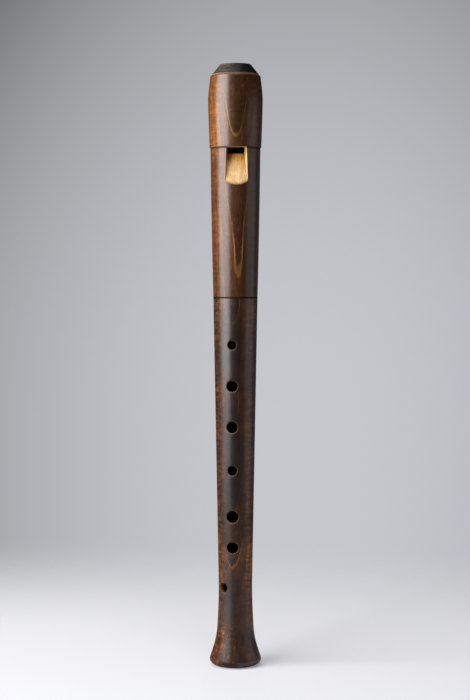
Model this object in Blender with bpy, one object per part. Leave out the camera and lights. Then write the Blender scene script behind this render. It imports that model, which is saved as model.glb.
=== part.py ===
"""Alto recorder that comes apart in two: a head joint with its fipple block, and a one-piece body
with seven finger holes, a thumb hole, a flared bell and a cork-lapped tenon.

Lengths are written in millimetres and become metres when the meshes are made. The recorder stands
on its bell at z = 0, its bore runs up the Z axis and the finger holes face -Y.
"""

import math

import bmesh
import bpy
from mathutils import Vector

MM = 0.001

# Body joint, heights from the floor up
BODY_LENGTH = 295.2
JOINT_RADIUS = 17.65
WAIST_HEIGHT = 56.5
WAIST_RADIUS = 13.22
WAIST_ROUNDING = 390.0
FLARE_HEIGHT = 23.1
FLARE_RADIUS = 15.06
FLARE_ROUNDING = 66.0
BELL_RADIUS = 20.6
LIP_HEIGHT = 5.2
LIP_DEPTH = 7.7

# Bore of the body: widest at the tenon, narrowest in the throat, opening again in the bell
TENON_BORE_RADIUS = 9.6
THROAT_RADIUS = 7.2
THROAT_HEIGHT = 60.0
BELL_BORE_RADIUS = 8.6

# Finger holes as height above the floor, diameter and turn away from the finger line
FINGER_HOLES = (
    (257.8, 7.2, 0.0),
    (225.2, 9.0, 0.0),
    (192.5, 9.1, 0.0),
    (158.0, 7.9, 0.0),
    (121.1, 9.8, 0.0),
    (96.3, 9.4, 0.0),
    (63.5, 8.0, math.radians(-37.5)),
)
THUMB_HOLE = (270.5, 6.6, math.pi)
UNDERCUT = 0.35

# Tenon with its cork lapping, and the socket that slides over it
TENON_LENGTH = 24.0
TENON_WALL = 2.3
CORK_SET_BACK = 5.0
CORK_BAND = 14.0
CORK_THICKNESS = 1.1
CORK_BED_GAP = 0.3
CORK_SOCKET_GAP = 0.2
TENON_SOCKET_GAP = 0.35
SEAT_GAP = 0.3
SOCKET_END_GAP = 0.8

# Head joint, from the seam at its foot to the tip of the beak
HEAD_LENGTH = 184.8
HEAD_TURN = math.radians(12.5)
HEAD_BORE_RADIUS = 10.0
SHANK_RADIUS = 19.85
SHANK_BOW = 0.2
STEP_DEPTH = 0.65
STEP_BELOW_WINDOW = 0.2
BARREL_RADIUS = 21.76
BARREL_BELOW_TIP = 27.2
BARREL_BOW = 0.14
SHOULDER_RADIUS = 19.95
CROWN_HEIGHT = 9.6
TIP_WALL = 2.2

# Windway, window and labium ramp
WINDWAY_LENGTH = 66.0
WINDOW_WIDTH = 13.1
WINDOW_SPLAY = math.radians(9.3)
WINDWAY_INSET = 0.25
ROOF_RISE_EXIT = 0.8
ROOF_RISE_ENTRY = 1.1
FLOOR_DROP_EXIT = 0.45
FLOOR_DROP_ENTRY = 0.9
CUT_UP = 5.1
LABIUM_EDGE = 0.35
RAMP_SLOPE = math.radians(20.2)
RAMP_SPREAD = math.radians(6.1)
RAMP_FOOT_ARCH = 0.3

# Block and beak
BLOCK_GAP = 0.25
BEAK_LENGTH = 42.0
BEAK_BEHIND_AXIS = 1.5
BEAK_HOLLOW_RADIUS = 60.0

# Small roundings of turned edges
EDGE_ROUNDING = 0.4
CROWN_ROUNDING = 1.6
BARREL_ROUNDING = 15.0

# How finely round shapes are divided
TURNED_SEGMENTS = 60
HOLE_SEGMENTS = 24
ARCH_SEGMENTS = 12
RAMP_LEVELS = 6
BEAK_SEGMENTS = 96
BOW_STEPS = 7
LIP_STEPS = 6
ARC_STEP = math.radians(25.0)
LONG_REACH = 8.0
LONG_ARC_STEPS = 7
LONGEST_SHARE = 0.49
CUTTER_OVERSHOOT = 3.0
DRILL_START = THROAT_RADIUS / 4
SHARP_EDGE = math.radians(30.0)

# Sizes that follow from the ones above
CORK_BED_RADIUS = TENON_BORE_RADIUS + TENON_WALL
CORK_INNER_RADIUS = CORK_BED_RADIUS + CORK_BED_GAP
CORK_OUTER_RADIUS = CORK_INNER_RADIUS + CORK_THICKNESS
SOCKET_RADIUS = CORK_OUTER_RADIUS + CORK_SOCKET_GAP
TENON_RADIUS = SOCKET_RADIUS - TENON_SOCKET_GAP
SOCKET_DEPTH = TENON_LENGTH + SOCKET_END_GAP
TENON_TOP = BODY_LENGTH + TENON_LENGTH
CORK_BOTTOM = BODY_LENGTH + CORK_SET_BACK
WINDOW_TOP = HEAD_LENGTH - WINDWAY_LENGTH
LABIUM_HEIGHT = WINDOW_TOP - CUT_UP
LABIUM_RADIUS = HEAD_BORE_RADIUS + LABIUM_EDGE
STEP_HEIGHT = WINDOW_TOP - STEP_BELOW_WINDOW
STEP_RADIUS = SHANK_RADIUS + STEP_DEPTH
BARREL_HEIGHT = HEAD_LENGTH - BARREL_BELOW_TIP
SHOULDER_HEIGHT = HEAD_LENGTH - CROWN_HEIGHT
TIP_RADIUS = HEAD_BORE_RADIUS + TIP_WALL
BLOCK_RADIUS = HEAD_BORE_RADIUS - BLOCK_GAP
WINDWAY_HALF_WIDTH = WINDOW_WIDTH / 2 - WINDWAY_INSET


def clear_scene():
    for old in list(bpy.data.objects):
        bpy.data.objects.remove(old, do_unlink=True)


def material(name, colour, roughness):
    """A plain surface without metal, in the colour that the piece shows."""
    made = bpy.data.materials.new(name)
    made.use_nodes = True
    shader = made.node_tree.nodes["Principled BSDF"]
    shader.inputs["Base Color"].default_value = (*colour, 1.0)
    shader.inputs["Roughness"].default_value = roughness
    shader.inputs["Metallic"].default_value = 0.0
    return made


# Outlines are lists of (radius, height) pairs


def bowed(start, end, bow, steps=BOW_STEPS):
    """Points from start to end, both left out, on a line that swells outwards by bow."""
    points = []
    for step in range(1, steps):
        share = step / steps
        radius = start[0] + (end[0] - start[0]) * share + 4 * bow * share * (1 - share)
        points.append((radius, start[1] + (end[1] - start[1]) * share))
    return points


def rounded(before, corner, after, rounding):
    """Points of the arc that rounds a corner, no longer than either side has room for."""
    here = Vector(corner)
    back = Vector(before) - here
    on = Vector(after) - here
    turn = math.pi - back.angle(on)
    reach = min(rounding * math.tan(turn / 2), back.length * LONGEST_SHARE, on.length * LONGEST_SHARE)
    radius = reach / math.tan(turn / 2)
    steps = LONG_ARC_STEPS if reach > LONG_REACH else max(2, math.ceil(turn / ARC_STEP))
    start = here + back.normalized() * reach
    centre = here + (back.normalized() + on.normalized()).normalized() * math.hypot(reach, radius)
    spoke = start - centre
    way = -1 if back.x * on.y - back.y * on.x > 0 else 1
    points = []
    for step in range(steps + 1):
        angle = way * turn * step / steps
        points.append((centre.x + spoke.x * math.cos(angle) - spoke.y * math.sin(angle),
                       centre.y + spoke.x * math.sin(angle) + spoke.y * math.cos(angle)))
    return points


def outline(corners):
    """Closed outline from (radius, height, rounding) corners, a rounding of 0 being sharp."""
    points = []
    count = len(corners)
    for number, (radius, height, rounding) in enumerate(corners):
        if rounding == 0:
            points.append((radius, height))
            continue
        before = corners[number - 1][:2]
        after = corners[(number + 1) % count][:2]
        points += rounded(before, (radius, height), after, rounding)
    return points


def sharp(points):
    return [(radius, height, 0) for radius, height in points]


# Meshes


def add_object(name, mesh_tool, surface=None):
    """Object from a bmesh in millimetres, shaded smooth apart from its sharp edges."""
    bmesh.ops.recalc_face_normals(mesh_tool, faces=mesh_tool.faces)
    bmesh.ops.scale(mesh_tool, vec=(MM, MM, MM), verts=mesh_tool.verts)
    mesh = bpy.data.meshes.new(name)
    mesh_tool.to_mesh(mesh)
    mesh_tool.free()
    mesh.shade_smooth()
    mesh.set_sharp_from_angle(angle=SHARP_EDGE)
    if surface is not None:
        mesh.materials.append(surface)
    made = bpy.data.objects.new(name, mesh)
    bpy.context.scene.collection.objects.link(made)
    return made


def turned(name, points, surface):
    """Piece turned on the Z axis from a closed outline."""
    mesh_tool = bmesh.new()
    corners = [mesh_tool.verts.new((radius, 0.0, height)) for radius, height in points]
    edges = [mesh_tool.edges.new((corners[number - 1], corner)) for number, corner in enumerate(corners)]
    bmesh.ops.spin(mesh_tool, geom=corners + edges, cent=(0, 0, 0), axis=(0, 0, 1), dvec=(0, 0, 0),
                   angle=math.tau, steps=TURNED_SEGMENTS, use_merge=True, use_duplicate=False)
    return add_object(name, mesh_tool, surface)


def loft(mesh_tool, rings):
    """Closed skin over a stack of rings that have equally many points."""
    loops = [[mesh_tool.verts.new(point) for point in ring] for ring in rings]
    count = len(loops[0])
    for low, high in zip(loops, loops[1:]):
        for here in range(count):
            ahead = (here + 1) % count
            mesh_tool.faces.new((low[here], low[ahead], high[ahead], high[here]))
    mesh_tool.faces.new(list(reversed(loops[0])))
    mesh_tool.faces.new(loops[-1])


def cutter(name, mesh_tool):
    bmesh.ops.triangulate(mesh_tool, faces=mesh_tool.faces)
    made = add_object(name, mesh_tool)
    made.hide_render = True
    made.display_type = "WIRE"
    return made


def cut(target, tool):
    """Takes the tool's shape out of the target; the tool rides with the target."""
    boolean = target.modifiers.new(tool.name, "BOOLEAN")
    boolean.operation = "DIFFERENCE"
    boolean.solver = "EXACT"
    boolean.object = tool


# Body joint


def bell_lip():
    """Underside of the bell, from the ring that it stands on out to its widest edge."""
    slope = (BELL_RADIUS - FLARE_RADIUS) / (FLARE_HEIGHT - LIP_HEIGHT)
    last = math.atan(slope * LIP_HEIGHT / LIP_DEPTH)
    points = []
    for step in range(LIP_STEPS + 1):
        angle = -math.pi / 2 + (math.pi / 2 + last) * step / LIP_STEPS
        points.append((BELL_RADIUS - LIP_DEPTH + LIP_DEPTH * math.cos(angle),
                       LIP_HEIGHT + LIP_HEIGHT * math.sin(angle)))
    return points


def body_outline():
    tenon = (
        (JOINT_RADIUS, BODY_LENGTH, EDGE_ROUNDING),
        (TENON_RADIUS, BODY_LENGTH, 0),
        (TENON_RADIUS, CORK_BOTTOM, 0),
        (CORK_BED_RADIUS, CORK_BOTTOM, 0),
        (CORK_BED_RADIUS, CORK_BOTTOM + CORK_BAND, 0),
        (TENON_RADIUS, CORK_BOTTOM + CORK_BAND, 0),
        (TENON_RADIUS, TENON_TOP, EDGE_ROUNDING),
    )
    bore = (
        (TENON_BORE_RADIUS, TENON_TOP, EDGE_ROUNDING),
        (THROAT_RADIUS, THROAT_HEIGHT, 0),
        (BELL_BORE_RADIUS, 0.0, EDGE_ROUNDING),
    )
    flare = (
        (FLARE_RADIUS, FLARE_HEIGHT, FLARE_ROUNDING),
        (WAIST_RADIUS, WAIST_HEIGHT, WAIST_ROUNDING),
    )
    return outline(sharp(bell_lip()) + list(flare) + list(tenon) + list(bore))


def hole_cutter(mesh_tool, height, diameter, turn):
    """Round hole through one wall, a little wider at the bore than at the skin."""
    outwards = Vector((math.sin(turn), -math.cos(turn), 0.0))
    across = Vector((math.cos(turn), math.sin(turn), 0.0))
    centre = Vector((0.0, 0.0, height))
    rings = []
    for depth, radius in ((DRILL_START, diameter / 2 + UNDERCUT),
                          (BELL_RADIUS + CUTTER_OVERSHOOT, diameter / 2 - UNDERCUT / 2)):
        ring = []
        for number in range(HOLE_SEGMENTS):
            angle = math.tau * number / HOLE_SEGMENTS
            ring.append(centre + outwards * depth + across * radius * math.cos(angle)
                        + Vector((0.0, 0.0, radius * math.sin(angle))))
        rings.append(ring)
    loft(mesh_tool, rings)


def make_body(wood):
    body = turned("body_joint", body_outline(), wood)
    holes = bmesh.new()
    for height, diameter, turn in (*FINGER_HOLES, THUMB_HOLE):
        hole_cutter(holes, height, diameter, turn)
    drill = cutter("hole_drills", holes)
    drill.parent = body
    cut(body, drill)
    return body


def make_cork(cork):
    low = CORK_BED_GAP
    high = CORK_BAND - CORK_BED_GAP
    band = turned("tenon_cork", outline((
        (CORK_OUTER_RADIUS, low, 0),
        (CORK_OUTER_RADIUS, high, 0),
        (CORK_INNER_RADIUS, high, 0),
        (CORK_INNER_RADIUS, low, 0),
    )), cork)
    band.location.z = CORK_BOTTOM * MM
    return band


# Head joint, heights from the seam


def head_outline():
    foot = (JOINT_RADIUS, SEAT_GAP)
    shank_top = (SHANK_RADIUS, STEP_HEIGHT)
    barrel_foot = (STEP_RADIUS, STEP_HEIGHT + STEP_DEPTH / 2)
    barrel = (BARREL_RADIUS, BARREL_HEIGHT)
    shoulder = (SHOULDER_RADIUS, SHOULDER_HEIGHT)
    outside = [(*foot, EDGE_ROUNDING)]
    outside += sharp(bowed(foot, shank_top, SHANK_BOW))
    outside += [(*shank_top, 0), (*barrel_foot, STEP_DEPTH / 2)]
    outside += sharp(bowed(barrel_foot, barrel, BARREL_BOW))
    outside += [(*barrel, BARREL_ROUNDING)]
    outside += sharp(bowed(barrel, shoulder, BARREL_BOW))
    outside += [(*shoulder, CROWN_ROUNDING), (TIP_RADIUS, HEAD_LENGTH, EDGE_ROUNDING)]
    inside = [
        (HEAD_BORE_RADIUS, HEAD_LENGTH, 0),
        (HEAD_BORE_RADIUS, SOCKET_DEPTH, 0),
        (SOCKET_RADIUS, SOCKET_DEPTH, 0),
        (SOCKET_RADIUS, SEAT_GAP, EDGE_ROUNDING),
    ]
    return outline(outside + inside)


def arch(radius, half_width, height):
    """Points of an arc about the bore's axis, on its -Y side, from -X to +X."""
    reach = math.asin(half_width / radius)
    points = []
    for step in range(ARCH_SEGMENTS + 1):
        angle = reach * (2 * step / ARCH_SEGMENTS - 1)
        points.append(Vector((radius * math.sin(angle), -radius * math.cos(angle), height)))
    return points


def windway_roof_cutter():
    """Channel in the wall of the bore, from the window up through the tip."""
    rings = []
    inner = -HEAD_BORE_RADIUS / 2
    for height, rise in ((WINDOW_TOP - CUT_UP / 2, ROOF_RISE_EXIT),
                         (HEAD_LENGTH + CUTTER_OVERSHOOT, ROOF_RISE_ENTRY)):
        ring = arch(HEAD_BORE_RADIUS + rise, WINDWAY_HALF_WIDTH, height)
        ring.append(Vector((WINDWAY_HALF_WIDTH, inner, height)))
        ring.append(Vector((-WINDWAY_HALF_WIDTH, inner, height)))
        rings.append(ring)
    mesh_tool = bmesh.new()
    loft(mesh_tool, rings)
    return cutter("windway_roof_float", mesh_tool)


def windway_floor_cutter():
    """Shallow flat along the block under the windway, deeper at the player's end."""
    rings = []
    outer = -(HEAD_BORE_RADIUS + CUTTER_OVERSHOOT)
    for height, drop in ((-CUTTER_OVERSHOOT, FLOOR_DROP_EXIT),
                         (WINDWAY_LENGTH + CUTTER_OVERSHOOT, FLOOR_DROP_ENTRY)):
        ring = arch(HEAD_BORE_RADIUS - drop, WINDWAY_HALF_WIDTH, height)
        ring.append(Vector((WINDWAY_HALF_WIDTH, outer, height)))
        ring.append(Vector((-WINDWAY_HALF_WIDTH, outer, height)))
        rings.append(ring)
    mesh_tool = bmesh.new()
    loft(mesh_tool, rings)
    return cutter("windway_floor_float", mesh_tool)


def window_ring(height, inner):
    """Ring of the window cutter: its inner edge, then out along both splayed side walls."""
    outer = BARREL_RADIUS + CUTTER_OVERSHOOT
    widening = math.tan(WINDOW_SPLAY)
    last = inner[-1]
    far = last[0] + (outer + last[1]) * widening
    ring = [Vector((x, y, height)) for x, y in inner]
    ring.append(Vector((far, -outer, height)))
    ring.append(Vector((-far, -outer, height)))
    return ring


def mouth_edge():
    """Inner edge of the window's open part, inside the bore."""
    half_width = WINDOW_WIDTH / 2
    depth = HEAD_BORE_RADIUS / 2
    wall_depth = math.sqrt(LABIUM_RADIUS ** 2 - half_width ** 2)
    reach = half_width - (wall_depth - depth) * math.tan(WINDOW_SPLAY)
    return [(reach * (2 * step / ARCH_SEGMENTS - 1), -depth) for step in range(ARCH_SEGMENTS + 1)]


def ramp_edge(drop):
    """Ramp's arched cross-section at a drop below the labium's edge."""
    run = (STEP_RADIUS + CUTTER_OVERSHOOT - LABIUM_RADIUS) / math.tan(RAMP_SLOPE)
    depth = LABIUM_RADIUS + drop * math.tan(RAMP_SLOPE)
    half_width = WINDOW_WIDTH / 2 + drop * math.tan(RAMP_SPREAD)
    top_arch = LABIUM_RADIUS - math.sqrt(LABIUM_RADIUS ** 2 - (WINDOW_WIDTH / 2) ** 2)
    rise = top_arch + (RAMP_FOOT_ARCH - top_arch) * drop / run
    points = []
    for step in range(ARCH_SEGMENTS + 1):
        across = 2 * step / ARCH_SEGMENTS - 1
        points.append((half_width * across, -depth + rise * across ** 2))
    return points


def window_cutter():
    """Window and ramp in one: open to the bore down to the labium, then sloping out."""
    run = (STEP_RADIUS + CUTTER_OVERSHOOT - LABIUM_RADIUS) / math.tan(RAMP_SLOPE)
    rings = [
        window_ring(WINDOW_TOP, mouth_edge()),
        window_ring(LABIUM_HEIGHT + LABIUM_EDGE, mouth_edge()),
    ]
    for level in range(RAMP_LEVELS + 1):
        drop = run * level / RAMP_LEVELS
        rings.append(window_ring(LABIUM_HEIGHT - drop, ramp_edge(drop)))
    mesh_tool = bmesh.new()
    loft(mesh_tool, rings)
    return cutter("window_chisel", mesh_tool)


def beak_cutter():
    """Roller across the back whose side leaves the hollow of the beak, at the head's height."""
    low = Vector((BARREL_RADIUS, HEAD_LENGTH - BEAK_LENGTH))
    high = Vector((BEAK_BEHIND_AXIS, HEAD_LENGTH))
    chord = high - low
    off = math.sqrt(BEAK_HOLLOW_RADIUS ** 2 - (chord.length / 2) ** 2)
    centre = (low + high) / 2 + Vector((chord.y, -chord.x)).normalized() * off
    half_length = BARREL_RADIUS + CUTTER_OVERSHOOT
    rings = []
    for x in (-half_length, half_length):
        ring = []
        for number in range(BEAK_SEGMENTS):
            angle = math.tau * number / BEAK_SEGMENTS
            ring.append(Vector((x, centre.x + BEAK_HOLLOW_RADIUS * math.cos(angle),
                                centre.y + BEAK_HOLLOW_RADIUS * math.sin(angle))))
        rings.append(ring)
    mesh_tool = bmesh.new()
    loft(mesh_tool, rings)
    return cutter("beak_roller", mesh_tool)


def make_head(wood, beak):
    head = turned("head_joint", head_outline(), wood)
    head.location.z = BODY_LENGTH * MM
    head.rotation_euler.z = HEAD_TURN
    for tool in (windway_roof_cutter(), window_cutter(), beak):
        tool.parent = head
        cut(head, tool)
    return head


def make_block(cedar, head, beak):
    """Cedar plug between the window and the tip; its origin lies on the axis at the window."""
    block = turned("block", outline((
        (BLOCK_RADIUS, 0.0, EDGE_ROUNDING),
        (BLOCK_RADIUS, WINDWAY_LENGTH, 0),
        (0.0, WINDWAY_LENGTH, 0),
        (0.0, 0.0, 0),
    )), cedar)
    block.parent = head
    block.location.z = WINDOW_TOP * MM
    floor = windway_floor_cutter()
    floor.parent = block
    cut(block, floor)
    cut(block, beak)
    return block


def main():
    clear_scene()
    dark_maple = material("stained_maple", (0.095, 0.045, 0.026), 0.38)
    warm_maple = material("stained_maple_head", (0.14, 0.06, 0.03), 0.36)
    cedar = material("cedar", (0.42, 0.2, 0.11), 0.6)
    cork = material("cork", (0.5, 0.31, 0.17), 0.85)
    body = make_body(dark_maple)
    band = make_cork(cork)
    band.parent = body
    beak = beak_cutter()
    head = make_head(warm_maple, beak)
    make_block(cedar, head, beak)


main()
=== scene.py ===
"""Looks of the alto recorder: fine turned surfaces, stained maple, bare maple, cedar and cork,
on a pale floor. Soft light comes from the left and from above, and weaker from behind and the right.

Shapes are written in millimetres, as in the part, and become metres when the meshes are made.
"""

import math

import bmesh
import bpy
from mathutils import Matrix, Vector


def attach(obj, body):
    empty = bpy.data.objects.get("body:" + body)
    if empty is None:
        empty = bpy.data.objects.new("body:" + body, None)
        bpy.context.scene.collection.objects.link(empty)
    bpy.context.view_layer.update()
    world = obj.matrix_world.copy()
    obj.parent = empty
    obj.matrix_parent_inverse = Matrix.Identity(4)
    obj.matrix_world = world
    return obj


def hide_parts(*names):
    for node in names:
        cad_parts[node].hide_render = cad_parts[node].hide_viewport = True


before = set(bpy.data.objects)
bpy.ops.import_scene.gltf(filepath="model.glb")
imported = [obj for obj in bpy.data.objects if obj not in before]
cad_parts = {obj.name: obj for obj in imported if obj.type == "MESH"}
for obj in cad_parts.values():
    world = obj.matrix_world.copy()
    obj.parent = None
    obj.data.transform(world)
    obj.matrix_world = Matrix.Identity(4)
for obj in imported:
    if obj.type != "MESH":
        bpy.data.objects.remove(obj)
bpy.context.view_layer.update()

MM = 0.001

# Body joint, heights from the floor up
BODY_LENGTH = 295.2
JOINT_RADIUS = 17.65
WAIST_HEIGHT = 56.5
WAIST_RADIUS = 13.22
WAIST_ROUNDING = 390.0
FLARE_HEIGHT = 23.1
FLARE_RADIUS = 15.06
FLARE_ROUNDING = 66.0
BELL_RADIUS = 20.6
LIP_HEIGHT = 5.2
LIP_DEPTH = 7.7
TENON_BORE_RADIUS = 9.6
THROAT_RADIUS = 7.2
THROAT_HEIGHT = 60.0
BELL_BORE_RADIUS = 8.6

# Finger holes as height above the floor, diameter and turn away from the finger line; their rims
FINGER_HOLES = (
    (257.8, 7.2, 0.0),
    (225.2, 9.0, 0.0),
    (192.5, 9.1, 0.0),
    (158.0, 7.9, 0.0),
    (121.1, 9.8, 0.0),
    (96.3, 9.4, 0.0),
    (63.5, 8.0, math.radians(-37.5)),
)
THUMB_HOLE = (270.5, 6.6, math.pi)
UNDERCUT = 0.35
RIM_ROUNDING = 0.45
RIM_STEPS = 4
RIM_TURN = math.radians(66.0)
RIM_PROUD = 0.5
DRILL_START = THROAT_RADIUS / 4

# Tenon, cork lapping and socket
TENON_LENGTH = 24.0
CORK_SET_BACK = 5.0
CORK_BAND = 14.0
CORK_BED_GAP = 0.3
CORK_BED_RADIUS = 11.9
CORK_INNER_RADIUS = 12.2
CORK_OUTER_RADIUS = 13.3
CORK_ROUNDING = 0.3
SOCKET_RADIUS = 13.5
TENON_RADIUS = 13.15
SEAT_GAP = 0.06
SOCKET_DEPTH = 24.8

# Head joint, heights from the seam up
HEAD_LENGTH = 184.8
HEAD_TURN = math.radians(12.5)
HEAD_BORE_RADIUS = 10.0
SHANK_RADIUS = 19.85
SHANK_BOW = 0.2
STEP_HEIGHT = 118.6
STEP_RADIUS = 20.5
STEP_DEPTH = 0.65
BARREL_HEIGHT = 157.6
BARREL_RADIUS = 21.76
BARREL_BOW = 0.14
SHOULDER_HEIGHT = 175.2
SHOULDER_RADIUS = 19.95
TIP_RADIUS = 12.2
CHARRED_FROM = 176.0

# Windway, window and labium ramp
WINDOW_TOP = 118.8
WINDWAY_LENGTH = 66.0
WINDOW_WIDTH = 13.1
WINDOW_SPLAY = math.radians(9.3)
WINDWAY_HALF_WIDTH = 6.3
ROOF_RISE_EXIT = 0.8
ROOF_RISE_ENTRY = 1.1
FLOOR_DROP_EXIT = 0.45
FLOOR_DROP_ENTRY = 0.9
CUT_UP = 5.1
LABIUM_HEIGHT = 113.7
LABIUM_RADIUS = 10.35
LABIUM_EDGE = 0.35
RAMP_SLOPE = math.radians(20.2)
RAMP_SPREAD = math.radians(6.1)
RAMP_FOOT_ARCH = 0.3

# Block and beak
BLOCK_RADIUS = 9.75
BEAK_LENGTH = 42.0
BEAK_BEHIND_AXIS = 1.5
BEAK_HOLLOW_RADIUS = 60.0

# Roundings of turned edges, and the share of either side that one takes at most
EDGE_ROUNDING = 0.4
SEAM_ROUNDING = 0.15
CROWN_ROUNDING = 1.6
BARREL_ROUNDING = 15.0
LONGEST_SHARE = 0.49

# How finely round shapes are divided
TURNED_SEGMENTS = 144
HOLE_SEGMENTS = 48
ARCH_SEGMENTS = 24
RAMP_LEVELS = 10
BEAK_SEGMENTS = 360
BOW_STEPS = 24
BARREL_STEPS = 7
LIP_STEPS = 16
ARC_STEP = math.radians(9.0)
LONGEST_STEP = 2.0

# How far the cutting tools reach past what they cut, and the angle from which an edge is sharp
CUTTER_OVERSHOOT = 3.0
SHARP_ANGLE = math.radians(28.0)

# Radii inside which a turned face belongs to the bore or to the socket
BODY_BORE_WITHIN = 10.5
HEAD_BORE_WITHIN = 10.3
SOCKET_WITHIN = 14.0

# Wood: spacing of its rings, and linear colours of dark, middle and light wood and the ring lines
RING_SPACING = 4.0
BODY_TONES = ((0.012, 0.0036, 0.0008), (0.033, 0.0098, 0.0026), (0.080, 0.026, 0.0075), (0.20, 0.072, 0.019))
HEAD_TONES = ((0.024, 0.0060, 0.0006), (0.062, 0.0165, 0.0022), (0.115, 0.035, 0.0065), (0.34, 0.13, 0.024))
# Linear colour of the painted shade along the seam and under the head's step
SEAM_SHADE = (0.004, 0.0025, 0.002)

# Shares that rings, streaks, fibre and specks have in the tone, and how far it spreads to either side
GROWTH_SHARE = 0.2
STREAK_SHARE = 0.5
FIBRE_SHARE = 0.6
SPECK_SHARE = 0.4
TONE_SPREAD = 0.4

# Photograph's camera: its place in metres, lens and sensor in millimetres
CAMERA_TURN = math.radians(9.7)
CAMERA_DISTANCE = 1.3971
CAMERA_HEIGHT = 0.3132
CAMERA_ASIDE = -0.00036
CAMERA_DIP = math.radians(2.454)
CAMERA_LENS = 90.0
CAMERA_SENSOR = 36.0

# Stage colours: the floor as seen, lit and glowing, and as it lights the object; the backdrop at its palest
FLOOR_WHITE = (0.535, 0.534, 0.556)
FLOOR_GLOW = (0.255, 0.256, 0.270)
FLOOR_GREY = (0.30, 0.30, 0.31)
BACKDROP_GREY = (0.567, 0.573, 0.605)
ROOM_GREY = (0.03, 0.03, 0.031)

# Floor: its size in metres; and in millimetres its oval round a place before the object, the
# distances over which it thins out, and those over which its light weakens, with both strengths
FLOOR_SIZE = 24.0
FLOOR_OVAL = (0.6, 1.0, 0.0)
FLOOR_FORWARD = (0.0, 100.0, 0.0)
FLOOR_THINS = (200.0, 760.0)
FLOOR_DULLS = (80.0, 450.0, 1.8, 0.6)

# Backdrop: where its glow is, how fast and how far it dims upwards and aside, and more in the corners
GLOW_DIP = 0.083
GLOW_ASIDE = 0.037
DIMMING_UP = 5.7
DIMMING_ASIDE = 9.8
MOST_DIMMED_UP = 0.4
MOST_DIMMED_ASIDE = 0.3
CORNER_DIMMING = 0.84

# Share of the backdrop that mirrored rays find behind the object, and where along Y it grows
MIRRORED_SHARE = 0.16
MIRRORED_FROM = -0.2
MIRRORED_TO = 0.6

# Lamps: turn from the camera's side towards +X; distance, height, height of the target, width and
# height of the lamp in metres; radiance
LAMPS = {
    "softbox_left": (math.radians(-58.0), 1.3, 0.85, 0.5, 1.45, 1.4, 6.3),
    "softbox_top": (math.radians(-8.0), 0.7, 1.65, 0.25, 0.9, 0.9, 5.6),
    "softbox_back": (math.pi, 2.4, 0.5, 0.3, 1.3, 1.3, 2.6),
    "softbox_right": (math.radians(80.0), 1.6, 0.3, 0.15, 1.5, 0.9, 0.5),
}


# Outlines are lists of (radius, height) pairs


def between(start, end, share):
    return start[0] + (end[0] - start[0]) * share, start[1] + (end[1] - start[1]) * share


def bowed(start, end, bow, steps=BOW_STEPS):
    """Points from start to end, both left out, on a line that swells outwards by bow."""
    points = []
    for step in range(1, steps):
        share = step / steps
        radius, height = between(start, end, share)
        points.append((radius + 4 * bow * share * (1 - share), height))
    return points


def rounded(before, corner, after, rounding):
    """Points of the arc that rounds a corner, no longer than either side has room for."""
    here = Vector(corner)
    back = Vector(before) - here
    on = Vector(after) - here
    turn = math.pi - back.angle(on)
    reach = min(rounding * math.tan(turn / 2), back.length * LONGEST_SHARE, on.length * LONGEST_SHARE)
    radius = reach / math.tan(turn / 2)
    steps = max(3, math.ceil(turn / ARC_STEP), math.ceil(2 * reach / LONGEST_STEP))
    start = here + back.normalized() * reach
    centre = here + (back.normalized() + on.normalized()).normalized() * math.hypot(reach, radius)
    spoke = start - centre
    way = -1 if back.x * on.y - back.y * on.x > 0 else 1
    points = []
    for step in range(steps + 1):
        angle = way * turn * step / steps
        points.append((centre.x + spoke.x * math.cos(angle) - spoke.y * math.sin(angle),
                       centre.y + spoke.x * math.sin(angle) + spoke.y * math.cos(angle)))
    return points


def outline(corners):
    """Closed outline from (radius, height, rounding) corners, a rounding of 0 being sharp."""
    points = []
    count = len(corners)
    for number, (radius, height, rounding) in enumerate(corners):
        if rounding == 0:
            points.append((radius, height))
            continue
        before = corners[number - 1][:2]
        after = corners[(number + 1) % count][:2]
        points += rounded(before, (radius, height), after, rounding)
    return divided(points)


def divided(points):
    """The same closed outline with no step longer than LONGEST_STEP."""
    fine = []
    for number, point in enumerate(points):
        ahead = points[(number + 1) % len(points)]
        steps = max(1, math.ceil(math.dist(point, ahead) / LONGEST_STEP))
        fine += [between(point, ahead, step / steps) for step in range(steps)]
    return fine


def sharp(points):
    return [(radius, height, 0) for radius, height in points]


# Meshes


def add_object(name, mesh_tool, surfaces):
    """Object from a bmesh in millimetres, with its materials in order."""
    bmesh.ops.recalc_face_normals(mesh_tool, faces=mesh_tool.faces)
    bmesh.ops.scale(mesh_tool, vec=(MM, MM, MM), verts=mesh_tool.verts)
    mesh = bpy.data.meshes.new(name)
    mesh_tool.to_mesh(mesh)
    mesh_tool.free()
    for surface in surfaces:
        mesh.materials.append(surface)
    made = bpy.data.objects.new(name, mesh)
    bpy.context.scene.collection.objects.link(made)
    return made


def turned(name, points, surfaces, place=None):
    """Piece turned on the Z axis, whose faces get the material with the number place(radius, height)."""
    mesh_tool = bmesh.new()
    corners = [mesh_tool.verts.new((radius, 0.0, height)) for radius, height in points]
    edges = [mesh_tool.edges.new((corners[number - 1], corner)) for number, corner in enumerate(corners)]
    bmesh.ops.spin(mesh_tool, geom=corners + edges, cent=(0, 0, 0), axis=(0, 0, 1), dvec=(0, 0, 0),
                   angle=math.tau, steps=TURNED_SEGMENTS, use_merge=True, use_duplicate=False)
    if place is not None:
        for face in mesh_tool.faces:
            centre = face.calc_center_median()
            face.material_index = place(math.hypot(centre.x, centre.y), centre.z)
    return add_object(name, mesh_tool, surfaces)


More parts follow.
